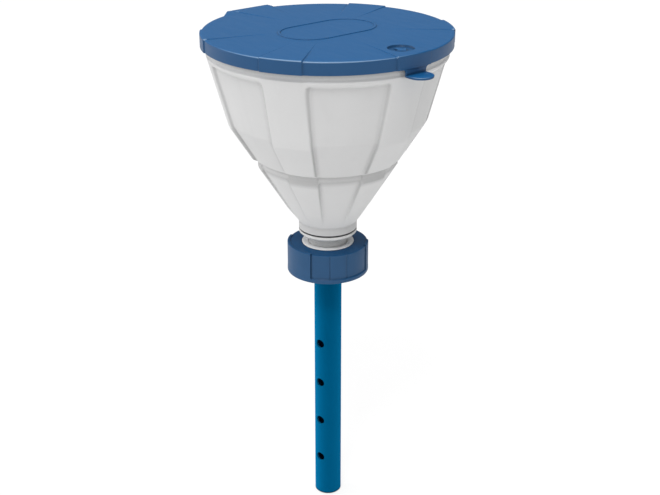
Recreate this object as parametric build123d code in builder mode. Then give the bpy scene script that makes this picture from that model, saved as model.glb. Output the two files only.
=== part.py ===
from build123d import *
import os
from math import cos, radians, sin, sqrt

os.makedirs("parts", exist_ok=True)

# Lidded filling funnel for a screw-neck canister, with a ball valve and a perforated dip tube.
# Millimetres. +Z is up along the funnel's axis, and the origin is on that axis in the plane where
# the canister's mouth meets the flat gasket. The lid's hinge is at +Y and its thumb tab at -Y.

# ---- lid ----
LID_R = 110.2  # skirt, outside
LID_EDGE_Z = 206.6  # top edge of the rim
LID_DOME = 0.85  # rise of the top at its middle
LID_EDGE_FILLET = 0.9
SKIRT_Z = 195.2  # lower edge of the skirt
SKIRT_BORE_R = 108.3
LID_PLATE_Z = 203.5  # underside of the top plate
WEDGES = 6  # raised stiffening wedges, which stand in line with the funnel's ribs
WEDGE_ARC = 19.2
WEDGE_R = 111.2
WEDGE_TOP_Z = 207.3
WEDGE_INNER_R = 30.0  # buried under the dome
FIRST_RIB_AZ = 30.0  # of the wedges and the funnel's ribs alike
GASKET_RIB_R = (100.3, 102.3)
GASKET_RIB_Z = 201.4
GASKET_RIM_R = (102.45, 107.9)  # inner and outer radius of the lid's gasket
GASKET_RIM_GAP = 0.05  # above and below it, with the lid shut
GASKET_RIM_FILLET = 0.6

# ---- thumb tab and the marks on the lid ----
TAB_WIDTH = 22.4
TAB_X = 0.8
TAB_Y = (-111.1, -109.3)  # the strip that drops from the skirt
TAB_Z = 188.6
TONGUE_THICK = 2.0
TONGUE_CENTRE_Y = -115.5
PANEL_MARK = (96.0, 54.0)  # blank name panel, outside length and width
PANEL_MARK_LINE = 2.4
PANEL_MARK_TOP_Z = 208.0
LIFT_MARK = (2.6, -90.0)  # round recess with a lift arrow
LIFT_MARK_R = 11.5
LIFT_MARK_DEPTH = 1.8
LIFT_ARROW = 11.0

# ---- hinge ----
HINGE_Y = 112.5
HINGE_Z = 189.5
KNUCKLE_R = 4.2
PIN_R = 1.6
PIN_RUNNING = 0.05  # radial clearance of the lid's knuckle on its pin
PIN_PRESS = 0.01
PIN_CHAMFER = 0.3
KNUCKLE_HALF = 9.0
LUG_X = (9.3, 14.3)
LUG_ROOT_Y = 104.5  # inside the rim band
LUG_NOSE = ((115.1, 185.9), (115.8, 183.9), (114.7, 181.5))  # (y, z) down the stop's nose
LUG_FOOT = ((101.8, 171.5), (100.4, 171.5))  # (y, z) where the lug's web runs into the bowl
HINGE_BLOCK_Y = 116.0
HINGE_BLOCK_X = (-25.0, 21.5)  # ends of its flat back
HINGE_BLOCK_FEET = ((-38.0, 102.5), (22.3, 106.5))  # (x, y) where its flanks meet the skirt
WEB_Y = (109.6, 116.0)  # the web between the block and the knuckle
WEB_TOP_Z = 195.7

# ---- funnel body: straight cone lines, each as a radius at a height and a slope ----
RIM_Z = 200.5
RIM_R = 107.6
RIM_BORE_R = 105.3
BAND_Z = (188.2, 190.2)  # the shoulder under the rim band, from its lip to the band
BAND_LIP = 0.5
BAND_R = 105.6
RIM_STEP_Z = 196.0  # the band steps out to the rim inside the skirt
RIM_CHAMFER = 0.4
PANEL_TOP_Z = 186.0  # upper end of the sunk panels
PANEL_TOP_RAMP = 1.0
PANEL_UPPER = (101.0, 178.0, 0.266)
PANEL_LOWER = (64.2, 90.0, 0.606)
RIB_UPPER = (103.8, 178.0, 0.275)
RIB_LOWER = (66.95, 90.0, 0.633)
RIB_ARC = 23.0
RIB_ROOT = 1.0  # how far a rib is buried in the wall behind it
WALL = 2.5  # upper bowl, radially
CONE_WALL = 2.9  # lower cone, radially
STEP_Z = (92.8, 95.0)  # underside of the step, at the wall and at its corner
STEP_WALL_R = 62.6
RIB_STEP_WALL_R = 63.6
RIB_STEP_Z = 96.2
LEDGE_Z = 97.4  # carries the strainer
LEDGE_BORE_R = 60.0
NECK_R = 27.0
NECK_BORE_R = 24.0
NECK_Z = 22.7
NECK_BEND_Z = 45.0  # below here the cone steepens towards the neck
NECK_CREASE_Z = 30.0

# ---- valve seat insert, screwed into the neck from below ----
BEAD_Z = (17.8, 21.1)
BEAD_CHAMFER = 1.2
SEAT_PLUG_R = 23.95
SEAT_TOP_Z = 31.0
SEAT_COUNTERBORE = (21.6, 29.95)  # radius and floor height
THROAT_R = 13.0
SPIGOT_R = 17.9
SPIGOT_Z = -11.0
SPIGOT_CHAMFER = 0.8
THROAT_FLARE = (1.0, 0.6)  # radius and height at the foot of the seat
NECK_GASKET_R = (24.1, 26.2)
NECK_GASKET_GAP = 0.02
SEAT_RING = (15.6, 1.5, 28.4)  # ring radius, section radius, height
SEAT_RING_GAP = (0.05, 0.02)  # beside it and under it
SPIGOT_RING = (17.02, 0.9, -4.0)
SPIGOT_GROOVE = (16.1, 2.8)  # floor radius and width

# ---- float ball and its cage ----
BALL_R = 19.0
BALL_WALL = 1.2
BALL_LIFT = 12.0
BALL_GAP = 0.02
CAGE_R = (19.6, 21.55)
CAGE_FOOT_Z = (30.0, 34.0)
CAGE_TOP_THICK = 2.6
CAGE_HEADROOM = 0.6
CAGE_POSTS = 4
CAGE_POST_WIDTH = 5.0
CAGE_TOP_WIDTH = 2.0

# ---- strainer ----
STRAINER_R = 64.8
STRAINER_Z = 97.45
STRAINER_THICK = 2.0
STRAINER_RIM = (2.2, 4.0)  # width and height
STRAINER_ROWS = ((15.0, 9), (25.0, 16), (35.0, 22), (45.0, 28), (55.0, 34))
STRAINER_HOLE_R = 2.75
KNOB_R = 10.0
KNOB_STEM_R = 4.5
KNOB_TAIL_R = 2.95
KNOB_HOLE_R = 3.0
KNOB_TOP_Z = 114.0
KNOB_GAP = 0.02  # over the strainer
KNOB_FOOT = (7.0, 1.5, 3.0)  # radius, and the heights of its edge and of its fillet
KNOB_HEAD = (6.0, 4.0, 1.2)  # depths below the top of the stem's end, the edge and the arc's middle
KNOB_FLAT = 4.0  # how far the flat top stands in from the edge

# ---- collar, union nut and gasket ----
COLLAR_LIP = (24.25, 7.55, 8.1)  # radius, underside, top
COLLAR_LIP_CHAMFER = (0.6, 0.3)  # along the radius and down
COLLAR_MOUTH = (18.9, 7.15)  # radius at the lip's top, and the height at which it meets the bore
COLLAR_BARREL_R = 23.5
COLLAR_FLANGE = (29.5, 2.05, 4.4)
COLLAR_NECK_R = 21.0
COLLAR_BORE_R = 17.95
COLLAR_SHOULDER_Z = (-13.5, -11.1)
COLLAR_WAIST_Z = (-16.5, -14.0)  # the cone between the tail and the neck
COLLAR_THROAT_R = 11.0
COLLAR_TAIL_R = 16.1
COLLAR_TAIL_Z = -26.0
TUBE_SOCKET_R = 13.02
NUT_R = 38.1  # foot ring
NUT_PAD_R = 37.95
NUT_SUNK_R = 37.0
NUT_TOP_Z = 7.5
NUT_BOTTOM_Z = -20.4
NUT_BORE_R = 30.5
NUT_HOLE_R = 23.55
NUT_CEILING_Z = 4.45
NUT_FOOT_RING = 3.4
NUT_FOOT_SLOPE = 1.1  # height of the slope from the foot ring up to the grip
NUT_FOOT_CHAMFER = 0.6
NUT_EDGE = 1.0
NUT_BORE_CHAMFER = 1.0
NUT_PAD_ROOT = 1.0  # how far a pad is buried in the nut
NUT_PAD_RISE = 0.8  # how far a pad's lip stands above the top
NUT_WIDE_PAD = (162.5, 85.0)  # azimuth of its middle, arc
NUT_NARROW_PADS = ((-49.0, 22.0), (14.0, 22.0))
NUT_GROOVE_AZIMUTHS = (-127.1, 92.1, 66.7)
NUT_GROOVE_R = 0.6
NUT_GROOVE_Z = (-15.9, 6.0)
GASKET_R = (21.1, 29.8)
GASKET_THICK = 2.0

# ---- dip tube ----
TUBE_R = 13.0
TUBE_BORE_R = 11.0
TUBE_Z = (-269.4, -13.6)
TUBE_HOLE_R = 4.5
TUBE_HOLES_Z = (-97.3, -140.2, -183.1, -226.0)
TUBE_HOLE_AZ = -167.5
TUBE_CHAMFER = 0.7
TUBE_RING = (13.7, 0.68, -19.8)
TUBE_RING_GROOVE = (14.4, 2.4)


def radial_plane(azimuth):
    """The upright half-plane at an azimuth: local x is the radius and local y is the height."""
    a = radians(azimuth)
    return Plane(origin=(0, 0, 0), x_dir=(cos(a), sin(a), 0), z_dir=(sin(a), -cos(a), 0))


def cone_r(line, z, inset=0.0):
    """The radius of a cone line at a height."""
    return line[0] + line[2] * (z - line[1]) - inset


def cone_z(line, r, inset=0.0):
    """The height at which a cone line reaches a radius."""
    return line[1] + (r + inset - line[0]) / line[2]


def bend_z(upper, lower, upper_inset=0.0, lower_inset=0.0):
    """The height at which two cone lines cross."""
    upper_r = upper[0] - upper[2] * upper[1] - upper_inset
    lower_r = lower[0] - lower[2] * lower[1] - lower_inset
    return (lower_r - upper_r) / (upper[2] - lower[2])


def cone_point(line, z, inset=0.0):
    return (cone_r(line, z, inset), z)


# ---------------------------------------------------------------- lid
with BuildPart() as wedge:  # one raised wedge, patterned round the lid below
    with BuildSketch(radial_plane(-WEDGE_ARC / 2)):
        with BuildLine():
            Polyline(
                (WEDGE_INNER_R, SKIRT_Z),
                (WEDGE_R, SKIRT_Z),
                (WEDGE_R, WEDGE_TOP_Z - LID_EDGE_FILLET),
            )
            RadiusArc(
                (WEDGE_R, WEDGE_TOP_Z - LID_EDGE_FILLET),
                (WEDGE_R - LID_EDGE_FILLET, WEDGE_TOP_Z),
                -LID_EDGE_FILLET,
            )
            Polyline(
                (WEDGE_R - LID_EDGE_FILLET, WEDGE_TOP_Z),
                (WEDGE_INNER_R, WEDGE_TOP_Z),
                (WEDGE_INNER_R, SKIRT_Z),
            )
        make_face()
    revolve(axis=Axis.Z, revolution_arc=WEDGE_ARC)

with BuildPart() as lid:
    edge_r = LID_R - LID_EDGE_FILLET
    with BuildSketch(Plane.XZ):  # the domed disc with its rounded rim
        with BuildLine():
            Polyline(
                (0, LID_EDGE_Z + LID_DOME),
                (0, SKIRT_Z),
                (LID_R, SKIRT_Z),
                (LID_R, LID_EDGE_Z - LID_EDGE_FILLET),
            )
            RadiusArc((LID_R, LID_EDGE_Z - LID_EDGE_FILLET), (edge_r, LID_EDGE_Z), -LID_EDGE_FILLET)
            Spline(
                (edge_r, LID_EDGE_Z),
                (0, LID_EDGE_Z + LID_DOME),
                tangents=((-edge_r, 2 * LID_DOME), (-1, 0)),
            )
        make_face()
    revolve(axis=Axis.Z)
    with PolarLocations(0, WEDGES, start_angle=FIRST_RIB_AZ):
        add(wedge.part)
    with BuildSketch(Plane.XY.offset(SKIRT_Z)):  # flat-backed block over the hinge
        with BuildLine():
            Polyline(
                HINGE_BLOCK_FEET[0],
                (HINGE_BLOCK_X[0], HINGE_BLOCK_Y),
                (HINGE_BLOCK_X[1], HINGE_BLOCK_Y),
                HINGE_BLOCK_FEET[1],
                close=True,
            )
        make_face()
    extrude(amount=WEDGE_TOP_Z - SKIRT_Z)
    with BuildSketch(Plane.XZ):  # hollow under the top plate
        with BuildLine():
            Polyline(
                (0, TAB_Z),
                (SKIRT_BORE_R, TAB_Z),
                (SKIRT_BORE_R, LID_PLATE_Z),
                (0, LID_PLATE_Z + LID_DOME),
                close=True,
            )
        make_face()
    revolve(axis=Axis.Z, mode=Mode.SUBTRACT)
    with BuildSketch(Plane.XZ):  # inner rib that keeps the gasket in its groove
        with BuildLine():
            Polyline(
                (GASKET_RIB_R[0], GASKET_RIB_Z),
                (GASKET_RIB_R[1], GASKET_RIB_Z),
                (GASKET_RIB_R[1], LID_PLATE_Z + LID_DOME),
                (GASKET_RIB_R[0], LID_PLATE_Z + LID_DOME),
                close=True,
            )
        make_face()
    revolve(axis=Axis.Z)
    with BuildSketch(Plane.XY.offset(TAB_Z)):  # thumb tab: strip, then the tongue below
        with Locations((TAB_X, (TAB_Y[0] + TAB_Y[1]) / 2)):
            Rectangle(TAB_WIDTH, TAB_Y[1] - TAB_Y[0])
    extrude(amount=SKIRT_Z + TONGUE_THICK - TAB_Z)
    with BuildSketch(Plane.XY.offset(TAB_Z)):
        with Locations((TAB_X, (TAB_Y[1] + TONGUE_CENTRE_Y) / 2)):
            Rectangle(TAB_WIDTH, TAB_Y[1] - TONGUE_CENTRE_Y)
        with Locations((TAB_X, TONGUE_CENTRE_Y)):
            Circle(TAB_WIDTH / 2)
        with Locations((TAB_X, TAB_Y[1] + TAB_WIDTH / 2)):
            Rectangle(2 * TAB_WIDTH, TAB_WIDTH, mode=Mode.SUBTRACT)
    extrude(amount=TONGUE_THICK)
    with BuildSketch(Plane.YZ.offset(-KNUCKLE_HALF)):  # knuckle and the web that carries it
        with Locations((HINGE_Y, HINGE_Z)):
            Circle(KNUCKLE_R)
        with Locations(((WEB_Y[0] + WEB_Y[1]) / 2, (HINGE_Z + WEB_TOP_Z) / 2)):
            Rectangle(WEB_Y[1] - WEB_Y[0], WEB_TOP_Z - HINGE_Z)
    extrude(amount=2 * KNUCKLE_HALF)
    with BuildSketch(Plane.YZ.offset(-KNUCKLE_HALF)):
        with Locations((HINGE_Y, HINGE_Z)):
            Circle(PIN_R + PIN_RUNNING)
    extrude(amount=2 * KNUCKLE_HALF, mode=Mode.SUBTRACT)
    with BuildSketch(Plane.XY.offset(LID_EDGE_Z)):  # raised outline of the blank name panel
        SlotOverall(*PANEL_MARK)
        SlotOverall(
            PANEL_MARK[0] - 2 * PANEL_MARK_LINE,
            PANEL_MARK[1] - 2 * PANEL_MARK_LINE,
            mode=Mode.SUBTRACT,
        )
    extrude(amount=PANEL_MARK_TOP_Z - LID_EDGE_Z)
    with BuildSketch(Plane.XY.offset(WEDGE_TOP_Z - LIFT_MARK_DEPTH)):  # round recess, arrow standing
        with Locations(LIFT_MARK):
            Circle(LIFT_MARK_R)
            Triangle(a=LIFT_ARROW, b=LIFT_ARROW, c=LIFT_ARROW, mode=Mode.SUBTRACT)
    extrude(amount=2 * LIFT_MARK_DEPTH, mode=Mode.SUBTRACT)
lid.part.label = "lid"
export_step(lid.part, "parts/lid.step")

with BuildPart() as lid_gasket:
    with BuildSketch(Plane.XY.offset(RIM_Z + GASKET_RIM_GAP)):
        Circle(GASKET_RIM_R[1])
        Circle(GASKET_RIM_R[0], mode=Mode.SUBTRACT)
    extrude(amount=LID_PLATE_Z - RIM_Z - 2 * GASKET_RIM_GAP)
    foot_edges = lid_gasket.edges().filter_by(GeomType.CIRCLE).group_by(Axis.Z)[0]
    fillet(foot_edges, radius=GASKET_RIM_FILLET)
lid_gasket.part.label = "lid_gasket"
export_step(lid_gasket.part, "parts/lid_gasket.step")

with BuildPart() as hinge_pin:
    with BuildSketch(Plane.YZ.offset(-LUG_X[1])):
        with Locations((HINGE_Y, HINGE_Z)):
            Circle(PIN_R)
    extrude(amount=2 * LUG_X[1])
    chamfer(hinge_pin.edges().filter_by(GeomType.CIRCLE), length=PIN_CHAMFER)
hinge_pin.part.label = "hinge_pin"
export_step(hinge_pin.part, "parts/hinge_pin.step")

# ---------------------------------------------------------------- funnel body
panel_bend = bend_z(PANEL_UPPER, PANEL_LOWER)
rib_bend = bend_z(RIB_UPPER, RIB_LOWER)
bore_bend = bend_z(PANEL_UPPER, PANEL_LOWER, WALL, CONE_WALL)

with BuildPart() as rib:  # one broad rib, from the neck up to the rim band
    with BuildSketch(radial_plane(-RIB_ARC / 2)):
        with BuildLine():
            Polyline(
                (NECK_R, NECK_CREASE_Z),
                cone_point(RIB_LOWER, NECK_BEND_Z),
                (RIB_STEP_WALL_R, cone_z(RIB_LOWER, RIB_STEP_WALL_R)),
                (RIB_STEP_WALL_R, STEP_Z[0]),
                cone_point(RIB_LOWER, RIB_STEP_Z),
                cone_point(RIB_LOWER, rib_bend),
                cone_point(RIB_UPPER, PANEL_TOP_Z),
                cone_point(PANEL_UPPER, PANEL_TOP_Z, RIB_ROOT),
                cone_point(PANEL_LOWER, panel_bend, RIB_ROOT),
                cone_point(PANEL_LOWER, STEP_Z[1], RIB_ROOT),
                (STEP_WALL_R - RIB_ROOT, STEP_Z[0]),
                (STEP_WALL_R - RIB_ROOT, cone_z(PANEL_LOWER, STEP_WALL_R)),
                cone_point(PANEL_LOWER, NECK_BEND_Z, RIB_ROOT),
                (NECK_R - RIB_ROOT, NECK_CREASE_Z),
                close=True,
            )
        make_face()
    revolve(axis=Axis.Z, revolution_arc=RIB_ARC)

with BuildPart() as hinge_lugs:  # a pair, each with a nose that stops the open lid
    with BuildSketch(Plane.YZ.offset(LUG_X[0])):
        with BuildLine():
            Polyline(
                (LUG_ROOT_Y, HINGE_Z + KNUCKLE_R),
                (HINGE_Y, HINGE_Z + KNUCKLE_R),
                (HINGE_Y + KNUCKLE_R, HINGE_Z),
                *LUG_NOSE,
                *LUG_FOOT,
                close=True,
            )
        make_face()
        with Locations((HINGE_Y, HINGE_Z)):
            Circle(KNUCKLE_R)
    extrude(amount=LUG_X[1] - LUG_X[0])
    mirror(about=Plane.YZ)

with BuildPart() as funnel_body:
    with BuildSketch(Plane.XZ):
        with BuildLine():
            Polyline(
                (NECK_R, NECK_Z),
                (NECK_R, NECK_CREASE_Z),
                cone_point(PANEL_LOWER, NECK_BEND_Z),
                (STEP_WALL_R, cone_z(PANEL_LOWER, STEP_WALL_R)),
                (STEP_WALL_R, STEP_Z[0]),
                cone_point(PANEL_LOWER, STEP_Z[1]),
                cone_point(PANEL_LOWER, panel_bend),
                cone_point(PANEL_UPPER, PANEL_TOP_Z - PANEL_TOP_RAMP),
                cone_point(RIB_UPPER, PANEL_TOP_Z),
                cone_point(RIB_UPPER, BAND_Z[0] - BAND_LIP),
                cone_point(RIB_UPPER, BAND_Z[0], BAND_LIP / 2),
                (BAND_R, BAND_Z[1]),
                (BAND_R, RIM_STEP_Z),
                (RIM_R, RIM_STEP_Z + RIM_R - BAND_R),
                (RIM_R, RIM_Z - RIM_CHAMFER),
                (RIM_R - RIM_CHAMFER, RIM_Z),
                (RIM_BORE_R, RIM_Z),
                cone_point(PANEL_UPPER, PANEL_UPPER[1], WALL),
                cone_point(PANEL_UPPER, bore_bend, WALL),
                cone_point(PANEL_LOWER, LEDGE_Z, CONE_WALL),
                (LEDGE_BORE_R, LEDGE_Z),
                (LEDGE_BORE_R, cone_z(PANEL_LOWER, LEDGE_BORE_R, CONE_WALL)),
                cone_point(PANEL_LOWER, NECK_BEND_Z, CONE_WALL),
                (NECK_BORE_R, NECK_CREASE_Z),
                (NECK_BORE_R, NECK_Z),
                close=True,
            )
        make_face()
    revolve(axis=Axis.Z)
    add(hinge_lugs.part)
    with PolarLocations(0, WEDGES, start_angle=FIRST_RIB_AZ):
        add(rib.part)
    with BuildSketch(Plane.YZ.offset(-LUG_X[1])):
        with Locations((HINGE_Y, HINGE_Z)):
            Circle(PIN_R + PIN_PRESS)
    extrude(amount=2 * LUG_X[1], mode=Mode.SUBTRACT)
funnel_body.part.label = "funnel_body"
export_step(funnel_body.part, "parts/funnel_body.step")

# ---------------------------------------------------------------- strainer
with BuildPart() as strainer:
    with BuildSketch(Plane.XY.offset(STRAINER_Z)):
        Circle(STRAINER_R)
        Circle(KNOB_HOLE_R, mode=Mode.SUBTRACT)
        for row_r, count in STRAINER_ROWS:
            with PolarLocations(row_r, count):
                Circle(STRAINER_HOLE_R, mode=Mode.SUBTRACT)
    extrude(amount=STRAINER_THICK)
    with BuildSketch(Plane.XY.offset(STRAINER_Z + STRAINER_THICK)):
        Circle(STRAINER_R)
        Circle(STRAINER_R - STRAINER_RIM[0], mode=Mode.SUBTRACT)
    extrude(amount=STRAINER_RIM[1] - STRAINER_THICK)
strainer.part.label = "strainer"
export_step(strainer.part, "parts/strainer.step")

with BuildPart() as strainer_knob:
    knob_base = STRAINER_Z + STRAINER_THICK + KNOB_GAP
    foot_r, foot_edge, foot_height = KNOB_FOOT
    stem_depth, edge_depth, arc_depth = KNOB_HEAD
    with BuildSketch(Plane.XZ):
        with BuildLine():
            Polyline(
                (0, STRAINER_Z),
                (KNOB_TAIL_R, STRAINER_Z),
                (KNOB_TAIL_R, knob_base),
                (foot_r, knob_base),
                (foot_r, knob_base + foot_edge),
                (KNOB_STEM_R, knob_base + foot_height),
                (KNOB_STEM_R, KNOB_TOP_Z - stem_depth),
                (KNOB_R, KNOB_TOP_Z - edge_depth),
            )
            ThreePointArc(
                (KNOB_R, KNOB_TOP_Z - edge_depth),
                (KNOB_R - arc_depth, KNOB_TOP_Z - arc_depth),
                (KNOB_R - KNOB_FLAT, KNOB_TOP_Z),
            )
            Polyline((KNOB_R - KNOB_FLAT, KNOB_TOP_Z), (0, KNOB_TOP_Z), (0, STRAINER_Z))
        make_face()
    revolve(axis=Axis.Z)
strainer_knob.part.label = "strainer_knob"
export_step(strainer_knob.part, "parts/strainer_knob.step")

# ---------------------------------------------------------------- valve
with BuildPart() as seat_insert:
    with BuildSketch(Plane.XZ):
        ring_r, ring_section, ring_z = SEAT_RING
        groove_r = ring_r + ring_section + SEAT_RING_GAP[0]
        groove_z = ring_z - ring_section - SEAT_RING_GAP[1]
        with BuildLine():
            Polyline(
                (THROAT_R, SPIGOT_Z),
                (SPIGOT_R - SPIGOT_CHAMFER, SPIGOT_Z),
                (SPIGOT_R, SPIGOT_Z + SPIGOT_CHAMFER),
                (SPIGOT_R, BEAD_Z[0]),
                (NECK_R - BEAD_CHAMFER, BEAD_Z[0]),
                (NECK_R, BEAD_Z[0] + BEAD_CHAMFER),
                (NECK_R, BEAD_Z[1]),
                (SEAT_PLUG_R, BEAD_Z[1]),
                (SEAT_PLUG_R, SEAT_TOP_Z),
                (SEAT_COUNTERBORE[0], SEAT_TOP_Z),
                (SEAT_COUNTERBORE[0], SEAT_COUNTERBORE[1]),
                (groove_r, SEAT_COUNTERBORE[1]),
                (groove_r, groove_z),
                (THROAT_R + THROAT_FLARE[0], groove_z),
                (THROAT_R, groove_z - THROAT_FLARE[1]),
                close=True,
            )
        make_face()
        with Locations((SPIGOT_R, SPIGOT_RING[2])):
            Rectangle(
                2 * (SPIGOT_R - SPIGOT_GROOVE[0]), SPIGOT_GROOVE[1], mode=Mode.SUBTRACT
            )
    revolve(axis=Axis.Z)
seat_insert.part.label = "seat_insert"
export_step(seat_insert.part, "parts/seat_insert.step")

with BuildPart() as seat_ring:
    with Locations((0, 0, SEAT_RING[2])):
        Torus(SEAT_RING[0], SEAT_RING[1])
seat_ring.part.label = "seat_ring"
export_step(seat_ring.part, "parts/seat_ring.step")

with BuildPart() as neck_gasket:
    with BuildSketch(Plane.XY.offset(BEAD_Z[1] + NECK_GASKET_GAP)):
        Circle(NECK_GASKET_R[1])
        Circle(NECK_GASKET_R[0], mode=Mode.SUBTRACT)
    extrude(amount=NECK_Z - BEAD_Z[1] - 2 * NECK_GASKET_GAP)
neck_gasket.part.label = "neck_gasket"
export_step(neck_gasket.part, "parts/neck_gasket.step")

contact = BALL_R + SEAT_RING[1]
ball_z = SEAT_RING[2] + sqrt(contact**2 - SEAT_RING[0] ** 2) + BALL_GAP
with BuildPart() as valve_ball:
    with Locations((0, 0, ball_z)):
        Sphere(BALL_R)
        Sphere(BALL_R - BALL_WALL, mode=Mode.SUBTRACT)
valve_ball.part.label = "valve_ball"
export_step(valve_ball.part, "parts/valve_ball.step")

with BuildPart() as ball_cage:
    cage_top = ball_z + BALL_R + BALL_LIFT + CAGE_HEADROOM
    with BuildSketch(Plane.XY.offset(CAGE_FOOT_Z[0])):  # foot ring
        Circle(CAGE_R[1])
        Circle(CAGE_R[0], mode=Mode.SUBTRACT)
    extrude(amount=CAGE_FOOT_Z[1] - CAGE_FOOT_Z[0])
    with BuildSketch(Plane.XY.offset(CAGE_FOOT_Z[0])):  # posts
        with PolarLocations(CAGE_R[1], CAGE_POSTS):
            Rectangle(2 * (CAGE_R[1] - CAGE_R[0]), CAGE_POST_WIDTH)
        Circle(CAGE_R[1], mode=Mode.INTERSECT)
        Circle(CAGE_R[0], mode=Mode.SUBTRACT)
    extrude(amount=cage_top - CAGE_FOOT_Z[0])
    with BuildSketch(Plane.XY.offset(cage_top)):  # top ring and crossbars
        Circle(CAGE_R[1])
        Circle(CAGE_R[0] - CAGE_TOP_WIDTH, mode=Mode.SUBTRACT)
        Rectangle(2 * CAGE_R[0], CAGE_POST_WIDTH)
        Rectangle(CAGE_POST_WIDTH, 2 * CAGE_R[0])
    extrude(amount=CAGE_TOP_THICK)
ball_cage.part.label = "ball_cage"
export_step(ball_cage.part, "parts/ball_cage.step")

with BuildPart() as spigot_ring:
    with Locations((0, 0, SPIGOT_RING[2])):
        Torus(SPIGOT_RING[0], SPIGOT_RING[1])
spigot_ring.part.label = "spigot_ring"
export_step(spigot_ring.part, "parts/spigot_ring.step")

# ---------------------------------------------------------------- collar, nut and gasket
with BuildPart() as collar:
    lip_r, lip_under, lip_top = COLLAR_LIP
    flange_r, flange_under, flange_top = COLLAR_FLANGE
    with BuildSketch(Plane.XZ):
        with BuildLine():
            Polyline(
                (TUBE_SOCKET_R, COLLAR_TAIL_Z),
                (COLLAR_TAIL_R, COLLAR_TAIL_Z),
                (COLLAR_TAIL_R, COLLAR_WAIST_Z[0]),
                (COLLAR_NECK_R, COLLAR_WAIST_Z[1]),
                (COLLAR_NECK_R, flange_under),
                (flange_r, flange_under),
                (flange_r, flange_top),
                (COLLAR_BARREL_R, flange_top),
                (COLLAR_BARREL_R, lip_under),
                (lip_r, lip_under),
                (lip_r, lip_top - COLLAR_LIP_CHAMFER[1]),
                (lip_r - COLLAR_LIP_CHAMFER[0], lip_top),
                (COLLAR_MOUTH[0], lip_top),
                (COLLAR_BORE_R, COLLAR_MOUTH[1]),
                (COLLAR_BORE_R, COLLAR_SHOULDER_Z[1]),
                (COLLAR_THROAT_R, COLLAR_SHOULDER_Z[1]),
                (COLLAR_THROAT_R, COLLAR_SHOULDER_Z[0]),
                (TUBE_SOCKET_R, COLLAR_SHOULDER_Z[0]),
                close=True,
            )
        make_face()
        with Locations((TUBE_SOCKET_R, TUBE_RING[2])):
            Rectangle(
                2 * (TUBE_RING_GROOVE[0] - TUBE_SOCKET_R), TUBE_RING_GROOVE[1], mode=Mode.SUBTRACT
            )
    revolve(axis=Axis.Z)
collar.part.label = "collar"
export_step(collar.part, "parts/collar.step")

with BuildPart() as union_nut:
    with BuildSketch(Plane.XZ):
        with BuildLine():
            Polyline(
                (NUT_BORE_R + NUT_BORE_CHAMFER, NUT_BOTTOM_Z),
                (NUT_R - NUT_FOOT_CHAMFER, NUT_BOTTOM_Z),
                (NUT_R, NUT_BOTTOM_Z + NUT_FOOT_CHAMFER),
                (NUT_R, NUT_BOTTOM_Z + NUT_FOOT_RING),
                (NUT_SUNK_R, NUT_BOTTOM_Z + NUT_FOOT_RING + NUT_FOOT_SLOPE),
                (NUT_SUNK_R, NUT_TOP_Z - NUT_EDGE),
                (NUT_SUNK_R - NUT_EDGE, NUT_TOP_Z),
                (NUT_HOLE_R, NUT_TOP_Z),
                (NUT_HOLE_R, NUT_CEILING_Z),
                (NUT_BORE_R, NUT_CEILING_Z),
                (NUT_BORE_R, NUT_BOTTOM_Z + NUT_BORE_CHAMFER),
                close=True,
            )
        make_face()
    revolve(axis=Axis.Z)
    for azimuth, arc in (NUT_WIDE_PAD, *NUT_NARROW_PADS):
        with BuildSketch(radial_plane(azimuth - arc / 2)):  # a raised grip pad
            with BuildLine():
                Polyline(
                    (NUT_SUNK_R - NUT_PAD_ROOT, NUT_BOTTOM_Z + NUT_PAD_ROOT),
                    (NUT_PAD_R, NUT_BOTTOM_Z + NUT_PAD_ROOT),
                    (NUT_PAD_R, NUT_TOP_Z - NUT_PAD_RISE),
                    (NUT_PAD_R - NUT_EDGE, NUT_TOP_Z + NUT_PAD_RISE),
                    (NUT_SUNK_R - NUT_PAD_ROOT, NUT_TOP_Z + NUT_PAD_RISE),
                    close=True,
                )
            make_face()
        revolve(axis=Axis.Z, revolution_arc=arc)
    with BuildSketch(Plane.XY.offset(NUT_GROOVE_Z[0])):  # grip grooves
        for azimuth in NUT_GROOVE_AZIMUTHS:
            with PolarLocations(NUT_SUNK_R, 1, start_angle=azimuth):
                Circle(NUT_GROOVE_R)
    extrude(amount=NUT_GROOVE_Z[1] - NUT_GROOVE_Z[0], mode=Mode.SUBTRACT)
union_nut.part.label = "union_nut"
export_step(union_nut.part, "parts/union_nut.step")

with BuildPart() as cap_gasket:
    with BuildSketch(Plane.XY):
        Circle(GASKET_R[1])
        Circle(GASKET_R[0], mode=Mode.SUBTRACT)
    extrude(amount=GASKET_THICK)
cap_gasket.part.label = "cap_gasket"
export_step(cap_gasket.part, "parts/cap_gasket.step")

# ---------------------------------------------------------------- dip tube
with BuildPart() as dip_tube:
    with BuildSketch(Plane.XY.offset(TUBE_Z[0])):
        Circle(TUBE_R)
        Circle(TUBE_BORE_R, mode=Mode.SUBTRACT)
    extrude(amount=TUBE_Z[1] - TUBE_Z[0])
    chamfer(
        dip_tube.edges().filter_by(GeomType.CIRCLE).group_by(Axis.Z)[0].sort_by(SortBy.RADIUS)[-1],
        length=TUBE_CHAMFER,
    )
    drill_plane = Plane(
        origin=(0, 0, 0),
        x_dir=(-sin(radians(TUBE_HOLE_AZ)), cos(radians(TUBE_HOLE_AZ)), 0),
        z_dir=(cos(radians(TUBE_HOLE_AZ)), sin(radians(TUBE_HOLE_AZ)), 0),
    )
    with BuildSketch(drill_plane.offset(-2 * TUBE_R)):  # spray holes through both walls
        for hole_z in TUBE_HOLES_Z:
            with Locations((0, hole_z)):
                Circle(TUBE_HOLE_R)
    extrude(amount=4 * TUBE_R, mode=Mode.SUBTRACT)
dip_tube.part.label = "dip_tube"
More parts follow.
